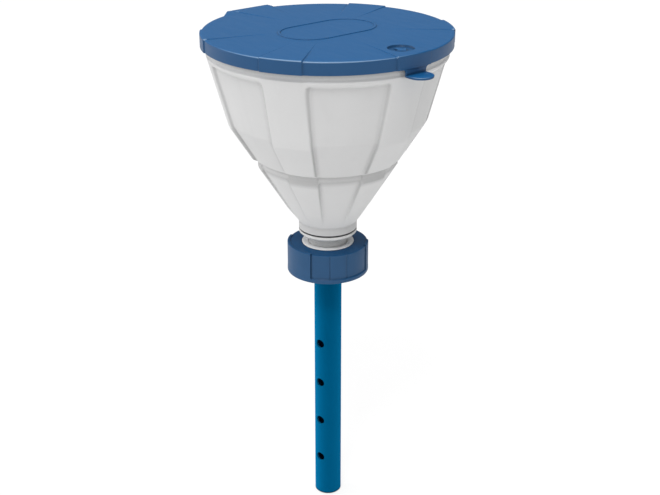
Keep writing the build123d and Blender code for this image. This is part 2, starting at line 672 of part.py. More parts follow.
export_step(dip_tube.part, "parts/dip_tube.step")

with BuildPart() as tube_ring:
    with Locations((0, 0, TUBE_RING[2])):
        Torus(TUBE_RING[0], TUBE_RING[1])
tube_ring.part.label = "tube_ring"
export_step(tube_ring.part, "parts/tube_ring.step")
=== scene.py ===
import bpy
import bmesh
import math
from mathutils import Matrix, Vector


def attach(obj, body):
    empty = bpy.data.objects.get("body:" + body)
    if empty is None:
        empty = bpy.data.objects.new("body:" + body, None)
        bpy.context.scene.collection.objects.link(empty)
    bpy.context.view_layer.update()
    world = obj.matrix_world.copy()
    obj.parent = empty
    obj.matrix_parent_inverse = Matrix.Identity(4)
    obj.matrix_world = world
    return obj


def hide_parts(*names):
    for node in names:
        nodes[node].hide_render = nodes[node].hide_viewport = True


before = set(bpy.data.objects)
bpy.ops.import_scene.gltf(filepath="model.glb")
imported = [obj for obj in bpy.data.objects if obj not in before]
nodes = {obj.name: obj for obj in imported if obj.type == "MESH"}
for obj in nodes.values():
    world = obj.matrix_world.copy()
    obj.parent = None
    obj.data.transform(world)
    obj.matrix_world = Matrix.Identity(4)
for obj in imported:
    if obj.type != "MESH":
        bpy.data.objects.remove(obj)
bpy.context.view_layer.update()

# Lengths below are in millimetres and angles in degrees, in the part's frame, unless said otherwise;
# meshes are scaled to metres.
MM = 0.001

# ---- the funnel's two cone families: (radius, height, slope) ----
PANEL_UPPER = (101.0, 178.0, 0.266)
PANEL_LOWER = (64.2, 90.0, 0.606)
RIB_UPPER = (103.8, 178.0, 0.275)
RIB_LOWER = (66.95, 90.0, 0.633)
RIBS = 6
FIRST_RIB = 30.0
NECK_R = 27.0
NECK_Z = 22.7
NECK_BEND_Z = 45.0
NECK_CREASE_Z = 30.0
NECK_BORE_R = 24.0
WALL = 2.5
CONE_WALL = 2.9
LEDGE_R = 60.0
LEDGE_Z = 97.4
STEP_Z = 92.8
STEP_WALL_R = (62.6, 63.6)  # panel, rib
STEP_CORNER_Z = (95.0, 96.2)
PANEL_TOP_Z = 186.0
PANEL_RAMP = 3.0
BAND_Z = (188.2, 190.2)
BAND_R = 105.6
RIM_STEP_Z = 196.0
SKIRT_Z = 195.2
RIM_Z = 200.5
RIM_R = 107.6
RIM_BORE_R = 105.3
CONE_RIB = 1.3  # how much wider a rib is below the step
CONE_RIB_Z = (97.0, 88.0)
RIB_EDGE = 12.0  # the mesh is fine round this angle from a rib's middle
PANEL_SIDE = (1.0, 2.5)  # half the width of a panel's sloping side, low and high
PANEL_SIDE_Z = (110.0, 185.0)  # between which it widens
PANEL_FOOT = 12.3  # from a rib's middle to the foot of that side
PANEL_CORNER = 6.0
FADE_Z = (31.0, 44.0)  # the panels run out into the round neck

# ---- lid ----
LID_R = 110.2
LID_EDGE_Z = 206.6
LID_DOME = 0.85
LID_FILLET = 1.2
LID_BORE_R = 108.3
LID_PLATE_Z = 203.5
WEDGE_R = 111.2
WEDGE_Z = 207.3
WEDGE_HALF = 9.6
WEDGE_SIDE = 0.3
WEDGE_CREASE = 0.18  # depth of the crease at a wedge's foot
# The flat-backed block over the hinge.
BLOCK = ((-38.0, 102.5), (-25.0, 116.0), (21.5, 116.0), (22.3, 106.5))
BLOCK_START = (77.9, 78.0, 78.1)  # azimuths round the right foot of the block
GASKET_RIB = (100.3, 102.3, 201.4)
DISC_RADII = (0, 12, 24, 36, 46, 54, 60, 66, 74, 84, 94, 102, 107)
TAB_X = 0.8  # thumb tab: a strip and a round tongue
TAB_HALF = 11.2
TAB_Z = 188.6
TAB_FILLET = 3.0
TAB_THICK = 1.8
TONGUE_Y = -115.5
TONGUE_THICK = 2.0
NAME_PANEL = (96.0, 54.0, 2.4, 0.6)  # blank panel: length, width, line width and height
LIFT_X = 2.6  # round recess with a lift arrow
LIFT_Y = -90.0
LIFT_R = 11.5
LIFT_DEPTH = 1.8

# ---- hinge ----
HINGE_Y = 112.5
HINGE_Z = 189.5
KNUCKLE_R = 4.2
KNUCKLE_HALF = 9.0
LUG_X = (9.3, 14.22)

# ---- union nut ----
NUT_R = 37.0
NUT_FOOT_R = 38.1
NUT_PAD_R = 37.95
NUT_PAD_RISE = 0.8  # a pad's lip stands above the top
NUT_Z = (-20.4, 7.5)
NUT_FOOT = 3.4
NUT_BORE_R = 30.5
NUT_HOLE_R = 23.55
NUT_CEILING_Z = 4.45
NUT_PADS = ((162.5, 42.5), (-49.0, 11.0), (14.0, 11.0))  # middle, half arc
# Grip grooves: azimuth, depth and half width in degrees.
NUT_GROOVES = ((-127.1, 0.35, 1.3), (-101.7, 0.4, 2.4), (92.1, 0.35, 1.3), (66.7, 0.4, 2.4))
NUT_PAD_SIDE = 0.25  # half the width of a pad's sloping side
NUT_PAD_CREASE = (0.35, 0.9, 0.5)  # depth, half width and place of the crease beside a pad
NUT_LIP_R = 35.4  # the pads' lips stand outside this
NUT_NOTCH = (1.0, 1.6, 0.6)  # depth of the notch beside the wide pad, and the ends of its slope
NUT_THREAD = (29.6, 4.0, 3.2, -17.4, 20.0)  # crest radius, pitch, turns, first height and azimuth
NUT_RIDGE = (2.6, 1.0)  # widths of a thread ridge at its foot and crest

# ---- spigot ----
SPIGOT_R = 17.9
SPIGOT_THREAD = (18.55, 1.55, 5.0, 9.6, 200.0)  # as the nut's
SPIGOT_RIDGE = (1.2, 0.4)

# ---- floor, camera and room, in metres and degrees ----
FLOOR_Z = -0.2705
FLOOR_HALF = 60.0
CAMERA_AZ = -40.0
CAMERA_EL = 23.695
CAMERA_D = 1.0885
CAMERA_SHIFT = 0.00198
CAMERA_LENS = 63.11
ROOM_BRIGHT_SIDE = (-70.0, 25.0)  # round from the camera, and up
ROOM_LEVELS = (0.16, 0.56)
GLOW = 1.1
GLOW_SHARE = 0.75  # how much of the floor's look to the camera is its own light


# ------------------------------------------------------------------ mesh helpers
def smooth(low, high, value):
    t = min(1.0, max(0.0, (value - low) / (high - low)))
    return t * t * (3.0 - 2.0 * t)


def apart(a, b):
    """The unsigned angle between two azimuths."""
    return abs((a - b + 180.0) % 360.0 - 180.0)


def new_piece(name, vertices, faces, body, material, sharp=38.0):
    """A closed mesh from millimetre vertices, riding on a body."""
    mesh = bpy.data.meshes.new(name)
    mesh.from_pydata([(x * MM, y * MM, z * MM) for x, y, z in vertices], [], faces)
    bm = bmesh.new()
    bm.from_mesh(mesh)
    bmesh.ops.remove_doubles(bm, verts=bm.verts, dist=1e-7)
    bmesh.ops.dissolve_degenerate(bm, edges=bm.edges, dist=1e-8)
    bmesh.ops.recalc_face_normals(bm, faces=bm.faces)
    bm.to_mesh(mesh)
    bm.free()
    obj = bpy.data.objects.new(name, mesh)
    bpy.context.scene.collection.objects.link(obj)
    obj.data.materials.append(material)
    shade(obj, sharp)
    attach(obj, body)
    return obj


def shade(obj, sharp):
    obj.data.shade_smooth()
    obj.data.set_sharp_from_angle(angle=math.radians(sharp))


def path(corners, closed=True, arc_parts=5):
    """Corners are (r, z, radius, parts): each becomes an arc, then a straight run cut into parts."""
    count = len(corners)
    arcs = []
    for i, (r, z, radius, _) in enumerate(corners):
        before = corners[i - 1]
        after = corners[(i + 1) % count]
        ends = not closed and i in (0, count - 1)
        ax, az = before[0] - r, before[1] - z
        bx, bz = after[0] - r, after[1] - z
        la, lb = math.hypot(ax, az), math.hypot(bx, bz)
        if ends or radius <= 0.0:
            arcs.append([(r, z)])
            continue
        ax, az, bx, bz = ax / la, az / la, bx / lb, bz / lb
        corner = math.acos(max(-1.0, min(1.0, ax * bx + az * bz)))
        if math.pi - corner < 0.003:  # a straight run: the arc's points are spread along it
            spread = min(0.5, 0.3 * la, 0.3 * lb)
            shares = [2.0 * k / arc_parts - 1.0 for k in range(arc_parts + 1)]
            arcs.append([(r + bx * spread * t, z + bz * spread * t) for t in shares])
            continue
        reach = min(radius / math.tan(corner / 2.0), 0.48 * la, 0.48 * lb)
        true_r = reach * math.tan(corner / 2.0)
        mx, mz = ax + bx, az + bz
        ml = math.hypot(mx, mz)
        centre_d = true_r / math.sin(corner / 2.0)
        cx, cz = r + mx / ml * centre_d, z + mz / ml * centre_d
        sx, sz = r + ax * reach - cx, z + az * reach - cz
        ex, ez = r + bx * reach - cx, z + bz * reach - cz
        sweep = math.pi - corner
        qx = (ex - sx * math.cos(sweep)) / math.sin(sweep)
        qz = (ez - sz * math.cos(sweep)) / math.sin(sweep)
        arcs.append([
            (
                cx + sx * math.cos(sweep * k / arc_parts) + qx * math.sin(sweep * k / arc_parts),
                cz + sz * math.cos(sweep * k / arc_parts) + qz * math.sin(sweep * k / arc_parts),
            )
            for k in range(arc_parts + 1)
        ])
    points = []
    for i, arc in enumerate(arcs):
        points += arc
        if i == count - 1 and not closed:
            break
        parts = corners[i][3]
        r0, z0 = arc[-1]
        r1, z1 = arcs[(i + 1) % count][0]
        points += [
            (r0 + (r1 - r0) * k / parts, z0 + (z1 - z0) * k / parts) for k in range(1, parts)
        ]
    return points


def azimuth_grid(edges, reach, fine, coarse):
    """Azimuths round the circle: fine steps near each edge and coarse ones elsewhere."""
    near = set()
    steps = int(round(2 * reach / fine))
    for edge in edges:
        for k in range(steps + 1):
            near.add(round((edge - reach + 2 * reach * k / steps) % 360.0, 4))
    count = int(round(360.0 / coarse))
    far = {
        round(360.0 * k / count, 4)
        for k in range(count)
        if all(apart(360.0 * k / count, e) > reach + coarse * 0.35 for e in edges)
    }
    return sorted(near | far)


def turned(name, section_at, azimuths, body, material, sharp=38.0):
    """A closed ring mesh from one section per azimuth."""
    rows = [section_at(a) for a in azimuths]
    per, count = len(rows[0]), len(rows)
    vertices = []
    for azimuth, row in zip(azimuths, rows):
        c, s = math.cos(math.radians(azimuth)), math.sin(math.radians(azimuth))
        vertices += [(r * c, r * s, z) for r, z in row]
    faces = [
        (
            i * per + j,
            (i + 1) % count * per + j,
            (i + 1) % count * per + (j + 1) % per,
            i * per + (j + 1) % per,
        )
        for i in range(count)
        for j in range(per)
    ]
    return new_piece(name, vertices, faces, body, material, sharp)


def helix(name, wall_r, ridge_r, pitch, turns, start_z, start_az, widths, body, material, slot):
    """A screw ridge on a wall, with its ends run out; widths are at the wall and at the crest."""
    steps = int(turns * 60)
    vertices, faces = [], []
    sink = -0.25 if ridge_r > wall_r else 0.25
    for k in range(steps + 1):
        share = k / steps
        run_out = smooth(0.0, 0.08, share) * smooth(0.0, 0.08, 1.0 - share)
        a = math.radians(start_az + 360.0 * turns * share)
        z = start_z + pitch * turns * share
        crest = wall_r + (ridge_r - wall_r) * (0.05 + 0.95 * run_out)
        half_wall, half_crest = widths[0] / 2.0, widths[1] / 2.0
        for r, dz in (
            (wall_r + sink, -half_wall),
            (wall_r, -half_wall),
            (crest, -half_crest),
            (crest, half_crest),
            (wall_r, half_wall),
            (wall_r + sink, half_wall),
        ):
            vertices.append((r * math.cos(a), r * math.sin(a), z + dz))
    for k in range(steps):
        for j in range(6):
            n = (j + 1) % 6
            faces.append((k * 6 + j, (k + 1) * 6 + j, (k + 1) * 6 + n, k * 6 + n))
    faces.append(tuple(range(6)))
    faces.append(tuple(steps * 6 + j for j in reversed(range(6))))
    return new_piece(name, vertices, faces, body, material, 30.0)


def prism(name, outline, low, high, plane, bevel, body, material):
    """An outline stood up between two levels, with rounded edges.

    Plane xy stands along z and yz along x; wrap lays the outline round the axis at -Y, with radii as
    its levels.
    """
    count = len(outline)
    place = {
        "xy": lambda u, v, level: (u, v, level),
        "yz": lambda u, v, level: (level, u, v),
        "wrap": lambda u, v, level: (level * math.sin(u / high), -level * math.cos(u / high), v),
    }[plane]
    vertices = [place(u, v, level) for level in (low, high) for u, v in outline]
    faces = [tuple(range(count)), tuple(range(2 * count - 1, count - 1, -1))]
    faces += [(i, (i + 1) % count, (i + 1) % count + count, i + count) for i in range(count)]
    obj = new_piece(name, vertices, faces, body, material)
    round_edges(obj, bevel)
    return obj


def round_edges(obj, width, parts=3):
    bm = bmesh.new()
    bm.from_mesh(obj.data)
    sharp = [e for e in bm.edges if len(e.link_faces) == 2 and e.calc_face_angle() > math.radians(28)]
    bmesh.ops.bevel(
        bm, geom=sharp, offset=width * MM, segments=parts, profile=0.5, affect="EDGES",
        clamp_overlap=True,
    )
    bm.to_mesh(obj.data)
    bm.free()
    shade(obj, 38.0)


def arc(cx, cy, radius, start, end, parts):
    return [
        (
            cx + radius * math.cos(math.radians(start + (end - start) * k / parts)),
            cy + radius * math.sin(math.radians(start + (end - start) * k / parts)),
        )
        for k in range(parts + 1)
    ]


# ------------------------------------------------------------------ materials
class Nodes:
    """Short calls for building a material's node tree."""

    def __init__(self, name):
        self.material = bpy.data.materials.new(name)
        self.material.use_nodes = True
        self.tree = self.material.node_tree
        self.tree.nodes.clear()
        self.coords = self.add("ShaderNodeTexCoord").outputs["Object"]

    def add(self, kind, **inputs):
        node = self.tree.nodes.new(kind)
        for key, value in inputs.items():
            self.put(node.inputs[key.replace("_", " ")], value)
        return node

    def put(self, socket, value):
        if isinstance(value, bpy.types.NodeSocket):
            self.tree.links.new(value, socket)
        else:
            socket.default_value = value

    def noise(self, scale, detail=3.0, rough=0.55, stretch=None):
        vector = self.coords
        if stretch:
            mapping = self.add("ShaderNodeMapping")
            self.put(mapping.inputs["Vector"], vector)
            mapping.inputs["Scale"].default_value = stretch
            vector = mapping.outputs["Vector"]
        node = self.add("ShaderNodeTexNoise", Scale=scale, Detail=detail, Roughness=rough)
        self.put(node.inputs["Vector"], vector)
        return node.outputs["Fac"]

    def math(self, operation, a, b):
        node = self.add("ShaderNodeMath")
        node.operation = operation
        self.put(node.inputs[0], a)
        self.put(node.inputs[1], b)
        return node.outputs[0]

    def span(self, value, low, high, to_low, to_high):
        node = self.add("ShaderNodeMapRange")
        node.clamp = True
        for socket, number in zip(node.inputs, (value, low, high, to_low, to_high)):
            self.put(socket, number)
        return node.outputs[0]

    def mix(self, share, a, b, blend="MIX"):
        node = self.add("ShaderNodeMix")
        node.data_type = "RGBA"
        node.blend_type = blend
        self.put(node.inputs[0], share)
        self.put(node.inputs[6], a)
        self.put(node.inputs[7], b)
        return node.outputs[2]

    def bump(self, height, strength, distance, normal=None):
        node = self.add("ShaderNodeBump", Strength=strength, Distance=distance)
        self.put(node.inputs["Height"], height)
        if normal is not None:
            self.put(node.inputs["Normal"], normal)
        return node.outputs["Normal"]

    def rounded_normal(self, radius):
        return self.add("ShaderNodeBevel", Radius=radius).outputs["Normal"]

    def edge_share(self, radius):
        """Near 1 on rounded edges and 0 on flat faces."""
        bevel = self.add("ShaderNodeBevel", Radius=radius)
        geometry = self.add("ShaderNodeNewGeometry")
        dot = self.add("ShaderNodeVectorMath")
        dot.operation = "DOT_PRODUCT"
        self.put(dot.inputs[0], bevel.outputs["Normal"])
        self.put(dot.inputs[1], geometry.outputs["Normal"])
        return self.span(dot.outputs["Value"], 0.995, 0.9, 0.0, 1.0)

    def painted_corner_shade(self, distance, depth):
        """Near 1 in the open and lower in corners: painted shade, darkest where little light reaches.
        """
        node = self.add("ShaderNodeAmbientOcclusion", Distance=distance)
        node.samples = 6
        return self.span(node.outputs["AO"], 0.8, 1.0, 1.0 - depth, 1.0)

    def upward(self):
        """1 on faces that look up and 0 on upright ones."""
        split = self.add("ShaderNodeSeparateXYZ")
        self.put(split.inputs[0], self.add("ShaderNodeNewGeometry").outputs["Normal"])
        return split.outputs["Z"]

    def height(self):
        split = self.add("ShaderNodeSeparateXYZ")
        self.put(split.inputs[0], self.coords)
        return split.outputs["Z"]

    def rim_light(self):
        """Near 1 on the rounded top edge where it faces the key light."""
        dot = self.add("ShaderNodeVectorMath")
        dot.operation = "DOT_PRODUCT"
        self.put(dot.inputs[0], self.add("ShaderNodeNewGeometry").outputs["Normal"])
        dot.inputs[1].default_value = CROWN_AIM
        flat = self.add("ShaderNodeVectorMath")
        flat.operation = "MULTIPLY"
        self.put(flat.inputs[0], self.coords)
        flat.inputs[1].default_value = (1.0, 1.0, 0.0)
        radius = self.add("ShaderNodeVectorMath")
        radius.operation = "LENGTH"
        self.put(radius.inputs[0], flat.outputs["Vector"])
        outside = self.span(radius.outputs["Value"], *CROWN_R, 0.0, 1.0)
        aimed = self.span(dot.outputs["Value"], *CROWN_AIMED, 0.0, 1.0)
        return self.math("MULTIPLY", aimed, outside)

    def blend(self, share, shader_a, shader_b):
        node = self.add("ShaderNodeMixShader")
        for socket, value in zip(node.inputs, (share, shader_a.outputs[0], shader_b.outputs[0])):
            self.put(socket, value)
        return node.outputs[0]

    def finish(self, **inputs):
        shader = self.add("ShaderNodeBsdfPrincipled", **inputs)
        output = self.add("ShaderNodeOutputMaterial")
        self.tree.links.new(shader.outputs[0], output.inputs["Surface"])
        return self.material


def colour(r, g, b):
    return (r, g, b, 1.0)


def shifted(base, factor):
    return tuple(min(1.0, c * factor) for c in base[:3]) + (1.0,)


def plastic(name, base, roughness, grain_depth=0.00002, variation=0.06, edge=1.18, sheen=0.2,
            rim=None, streak=0.25, corner=(0.006, 0.15), top=None, low=None, crown=0.0, recess=1.0,
            scuff=0.1):
    """Moulded plastic: cloudy colour, satin grain, handling scuffs, and lighter edges (rubbed wear and
    painted highlight).

    Rim paints a sheen on faces seen edge on, corner paints shade in the creases, top tints what looks
    up as painted light or shade, low paints shade below a height, crown paints a highlight on the lid's
    edge and recess paints shade in the sunk parts.
    """
    n = Nodes(name)
    clouds = n.noise(26.0, 4.0, 0.6)
    specks = n.noise(900.0, 2.0, 0.5)
    streaks = n.noise(60.0, 5.0, 0.7, stretch=(1.0, 1.0, 0.12))
    tone = n.mix(n.span(clouds, 0.3, 0.7, 0.0, 1.0), shifted(base, 1.0 - variation),
                 shifted(base, 1.0 + variation))
    tone = n.mix(n.span(specks, 0.62, 0.78, 0.0, 0.22), tone, shifted(base, 1.25))
    tone = n.mix(n.span(streaks, 0.55, 0.8, 0.0, streak), tone, shifted(base, 0.86))
    # Lighter edges: partly rubbed wear, partly a painted highlight.
    tone = n.mix(n.math("MULTIPLY", n.edge_share(0.0009), 0.55), tone, shifted(base, edge))
    # Painted sheen: faces seen edge on are tinted lighter.
    if rim is not None:
        facing = n.add("ShaderNodeLayerWeight", Blend=0.5).outputs["Facing"]
        tone = n.mix(n.span(facing, 0.12, 0.85, 0.0, 1.0), tone, rim)
    # Painted shade in the corners.
    tone = n.mix(1.0, tone, n.painted_corner_shade(*corner), "MULTIPLY")
    # Painted light and shade: faces that look up take a tint.
    if top is not None:
        tone = n.mix(n.span(n.upward(), 0.2, 0.8, 0.0, 1.0), tone, top, "MULTIPLY")
    # Painted shade: darker below a height.
    if low is not None:
        tone = n.mix(1.0, tone, n.span(n.height(), *low), "MULTIPLY")
    # Painted shade in the sunk parts, from the recess attribute.
    if recess < 1.0:
        sunk = n.add("ShaderNodeAttribute")
        sunk.attribute_name = "recess"
        tone = n.mix(1.0, tone, n.span(sunk.outputs["Fac"], 0.0, 1.0, 1.0, recess), "MULTIPLY")
    # Painted highlight along the lid's rounded top edge.
    if crown:
        tone = n.mix(n.math("MULTIPLY", n.rim_light(), crown), tone, CROWN_HIGHLIGHT_BLUE)
    scuffs = n.noise(140.0, 6.0, 0.75, stretch=(1.0, 0.22, 1.0))
    rough = n.span(scuffs, 0.35, 0.75, roughness - 0.03, roughness + 0.05)
    normal = n.rounded_normal(ROUNDING)
    normal = n.bump(n.noise(GRAIN, 2.0, 0.5), 0.35, grain_depth, normal)
    normal = n.bump(n.noise(70.0, 2.0, 0.4), scuff, 0.0002, normal)
    return n.finish(
        **{
            "Base_Color": tone, "Roughness": rough, "Normal": normal,
            "Specular_IOR_Level": sheen,
        }
    )


def rubber(name, base):
    n = Nodes(name)
    dust = n.span(n.noise(180.0, 5.0, 0.65), 0.45, 0.75, 0.0, 0.35)
    tone = n.mix(dust, base, shifted(base, 2.2))
    normal = n.bump(n.noise(1500.0, 3.0, 0.6), 0.4, 0.00004)
    rough = n.span(n.noise(90.0, 3.0, 0.5), 0.3, 0.7, 0.55, 0.8)
    return n.finish(**{"Base_Color": tone, "Roughness": rough, "Normal": normal})


def steel(name):
    n = Nodes(name)
    draw = n.noise(700.0, 3.0, 0.6, stretch=(0.04, 1.0, 1.0))
    tone = n.mix(n.span(draw, 0.3, 0.7, 0.0, 1.0), colour(0.42, 0.42, 0.43), colour(0.66, 0.66, 0.67))
    rough = n.span(draw, 0.3, 0.7, 0.22, 0.42)
    normal = n.bump(draw, 0.3, 0.00002)
    return n.finish(**{"Base_Color": tone, "Roughness": rough, "Normal": normal, "Metallic": 1.0})


# A painted highlight on the lid's rounded top edge, where it faces the key light.
CROWN_AIM = (-0.55, -0.52, 0.65)  # the way the lid's edge faces where the light catches it
CROWN_AIMED = (0.8, 0.97)  # how closely it has to face that way, for none and all of the light
CROWN_R = (0.1075, 0.1085)  # the edge starts between these radii, in metres
CROWN_HIGHLIGHT_BLUE = (0.45, 0.62, 0.8, 1.0)
GRAIN = 2600.0
ROUNDING = 0.00035  # metres
# The lid's top is tinted bluer and lighter than its sides, and the nut's top darker: painted light and
# shade.
LID_BLUE = plastic("lid_blue", colour(0.022, 0.091, 0.220), 0.4, variation=0.012, edge=1.0, streak=0.02,
                   sheen=0.24, corner=(0.003, 0.38), top=colour(0.36, 1.18, 1.34), crown=0.45,
                   recess=0.7, scuff=0.04)
NUT_BLUE = plastic("nut_blue", colour(0.026, 0.092, 0.208), 0.46, variation=0.05, edge=1.35, sheen=0.25,
                   corner=(0.003, 0.45), top=colour(0.08, 0.68, 0.84))
# A painted sheen where the tube is seen edge on, and strong painted shade in its holes.
TUBE_BLUE = plastic("tube_blue", colour(0.0, 0.104, 0.235), 0.34, variation=0.03, grain_depth=0.00001,
                    rim=colour(0.004, 0.215, 0.465), sheen=0.0, corner=(0.004, 0.85))
# The neck is darker below its crease: painted shade, where the nut keeps light off it from below.
FUNNEL_WHITE = plastic("funnel_white", colour(0.78, 0.78, 0.78), 0.5, variation=0.012, edge=1.06,
                       corner=(0.005, 0.28), low=(0.0290, 0.0315, 0.86, 1.0), recess=0.79)
INSERT_WHITE = plastic("insert_white", colour(0.82, 0.82, 0.81), 0.45, variation=0.015, edge=1.08)
# A lighter copy of the insert's white, as painted light: the funnel shades the collar.
COLLAR_LIT_WHITE = plastic("collar_lit_white", colour(0.93, 0.93, 0.93), 0.45, variation=0.015,
                       corner=(0.002, 0.1))
BALL_WHITE = plastic("ball_white", colour(0.8, 0.8, 0.77), 0.3, variation=0.015)
SEAL_BLACK = rubber("seal_black", colour(0.025, 0.025, 0.026))
SEAL_GREY = rubber("seal_grey", colour(0.2, 0.2, 0.195))
PIN_STEEL = steel("pin_steel")

for node_name, material in {
    "hinge_pin": PIN_STEEL, "lid_gasket": SEAL_GREY, "strainer": INSERT_WHITE,
    "strainer_knob": INSERT_WHITE, "seat_insert": INSERT_WHITE, "seat_ring": SEAL_BLACK,
    "neck_gasket": SEAL_BLACK, "valve_ball": BALL_WHITE, "ball_cage": INSERT_WHITE,
    "spigot_ring": SEAL_BLACK, "collar": COLLAR_LIT_WHITE, "cap_gasket": SEAL_GREY,
    "dip_tube": TUBE_BLUE, "tube_ring": SEAL_BLACK,
}.items():
    slots = nodes[node_name].data.materials
    slots.clear()
    slots.append(material)


# ------------------------------------------------------------------ funnel body
def line_r(line, z, inset=0.0):
    return line[0] + line[2] * (z - line[1]) - inset


def line_z(line, r, inset=0.0):
    return line[1] + (r + inset - line[0]) / line[2]


def crossing(upper, lower, upper_inset=0.0, lower_inset=0.0):
    upper_r = upper[0] - upper[2] * upper[1] - upper_inset
    lower_r = lower[0] - lower[2] * lower[1] - lower_inset
    return (lower_r - upper_r) / (upper[2] - lower[2])


def funnel_corners(upper, lower, kind):
    """The closed section of the body over a panel (kind 0) or a rib (kind 1)."""
    wall_r = STEP_WALL_R[kind]
    bend = crossing(upper, lower)
    bore_bend = crossing(PANEL_UPPER, PANEL_LOWER, WALL, CONE_WALL)
    ramp_z = PANEL_TOP_Z - PANEL_RAMP
    return [
        (NECK_R, NECK_Z, 0.3, 1),
        (NECK_R, NECK_CREASE_Z, 1.4, 3),
        (line_r(lower, NECK_BEND_Z), NECK_BEND_Z, 12.0, 10),
        (wall_r, line_z(lower, wall_r), 0.8, 2),
        (wall_r, STEP_Z, 0.5, 2),
        (line_r(lower, STEP_CORNER_Z[kind]), STEP_CORNER_Z[kind], 1.1, 8),
        (line_r(lower, bend), bend, 14.0, 14),
        (line_r(upper, ramp_z), ramp_z, 2.0, 3),
        (line_r(RIB_UPPER, PANEL_TOP_Z), PANEL_TOP_Z, 2.0, 2),
        (line_r(RIB_UPPER, BAND_Z[0]), BAND_Z[0], 1.4, 1),
        (BAND_R, BAND_Z[1], 4.0, 2),
        (BAND_R, RIM_STEP_Z, 0.3, 1),
        (RIM_R, RIM_STEP_Z + RIM_R - BAND_R, 0.3, 1),
        (RIM_R, RIM_Z, 0.5, 1),
        (RIM_BORE_R, RIM_Z, 0.5, 3),
        (line_r(PANEL_UPPER, PANEL_UPPER[1], WALL), PANEL_UPPER[1], 8.0, 8),
        (line_r(PANEL_UPPER, bore_bend, WALL), bore_bend, 14.0, 6),
        (line_r(PANEL_LOWER, LEDGE_Z, CONE_WALL), LEDGE_Z, 0.4, 1),
        (LEDGE_R, LEDGE_Z, 0.6, 2),
        (LEDGE_R, line_z(PANEL_LOWER, LEDGE_R, CONE_WALL), 1.0, 6),
        (line_r(PANEL_LOWER, NECK_BEND_Z, CONE_WALL), NECK_BEND_Z, 12.0, 3),
        (NECK_BORE_R, NECK_CREASE_Z, 1.0, 2),
        (NECK_BORE_R, NECK_Z, 0.3, 1),
    ]


PANEL_PATH = path(funnel_corners(PANEL_UPPER, PANEL_LOWER, 0))
RIB_PATH = path(funnel_corners(RIB_UPPER, RIB_LOWER, 1))
RIB_AZIMUTHS = [FIRST_RIB + 360.0 / RIBS * k for k in range(RIBS)]


def rib_side(azimuth, r, z):
    """1 on a rib and 0 on a sunk panel, with soft sides and rounded top corners."""
    off = min(apart(azimuth, rib) for rib in RIB_AZIMUTHS)
    per_mm = math.degrees(1.0 / max(r, 1.0))
    soft = (PANEL_SIDE[0] + (PANEL_SIDE[1] - PANEL_SIDE[0]) * smooth(*PANEL_SIDE_Z, z)) * per_mm
    half = PANEL_FOOT + CONE_RIB * smooth(*CONE_RIB_Z, z) - soft
    into_corner = min(PANEL_CORNER, max(0.0, z - (PANEL_TOP_Z - PANEL_CORNER)))
    half += (PANEL_CORNER - math.sqrt(PANEL_CORNER**2 - into_corner**2)) * per_mm
    return smooth(half + soft, half - soft, off)


def rib_share(azimuth, r, z):
    share = rib_side(azimuth, r, z)
    return share + (1.0 - share) * (1.0 - smooth(*FADE_Z, z))


def funnel_section(azimuth):
    section = []
    for (pr, pz), (rr, rz) in zip(PANEL_PATH, RIB_PATH):
        share = rib_share(azimuth, (pr + rr) / 2.0, (pz + rz) / 2.0)
        section.append((pr + (rr - pr) * share, pz + (rz - pz) * share))
    return section


rib_edges = [rib + side * RIB_EDGE for rib in RIB_AZIMUTHS for side in (-1, 1)]
funnel_shell = turned(
    "funnel_shell", funnel_section, azimuth_grid(rib_edges, 5.5, 0.5, 2.5), "funnel",
    FUNNEL_WHITE, 30.0,
)
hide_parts("funnel_body")

# Painted shade in the sunk panels, darkest along their sides, and on the wall under the step.
recess = funnel_shell.data.attributes.new("recess", "FLOAT", "POINT")
for vertex, value in zip(funnel_shell.data.vertices, recess.data):
    x, y, z = (c / MM for c in vertex.co)
    r = math.hypot(x, y)
    if r > min(line_r(PANEL_UPPER, z), line_r(PANEL_LOWER, z)) - 1.0:
        side = rib_side(math.degrees(math.atan2(y, x)), r, z)
        inside = smooth(FADE_Z[1], 2.0 * FADE_Z[1], z)
        inside *= smooth(PANEL_TOP_Z, PANEL_TOP_Z - PANEL_RAMP, z)
        under_step = smooth(STEP_Z + 0.8, STEP_Z, z) if abs(r - sum(STEP_WALL_R) / 2.0) < 0.8 else 0.0
        value.value = max((4.0 * side * (1.0 - side) + 0.15 * (1.0 - side)) * inside, under_step)

# Hinge lugs: two plates, each with a nose that stops the open lid.
lug_outline = [(104.5, HINGE_Z + KNUCKLE_R)]
lug_outline += arc(HINGE_Y, HINGE_Z, KNUCKLE_R, 90.0, -20.0, 12)
lug_outline += [
    (HINGE_Y + 2.6, HINGE_Z - 3.6), (HINGE_Y + 3.3, HINGE_Z - 5.6), (HINGE_Y + 2.2, HINGE_Z - 8.0),
    (103.4, 173.0), (102.6, 173.0),
]
for side, suffix in ((-1.0, "left"), (1.0, "right")):
    prism(
        f"hinge_lug_{suffix}", lug_outline, side * LUG_X[0], side * LUG_X[1], "yz", 0.35, "funnel",
        FUNNEL_WHITE,
    )


# ------------------------------------------------------------------ lid
def block_r(azimuth):
    """The radius of the flat-backed block over the hinge, or 0 away from it."""
    x, y = math.cos(math.radians(azimuth)), math.sin(math.radians(azimuth))
    for (x0, y0), (x1, y1) in zip(BLOCK, BLOCK[1:]):
        if (x * y0 - y * x0) * (x * y1 - y * x1) <= 0.0 and y > 0.0:
            return (x1 * y0 - x0 * y1) / ((y0 - y1) * x + (x1 - x0) * y)
    return 0.0


def wedge_off(azimuth):
    return min(apart(azimuth, rib) for rib in RIB_AZIMUTHS)


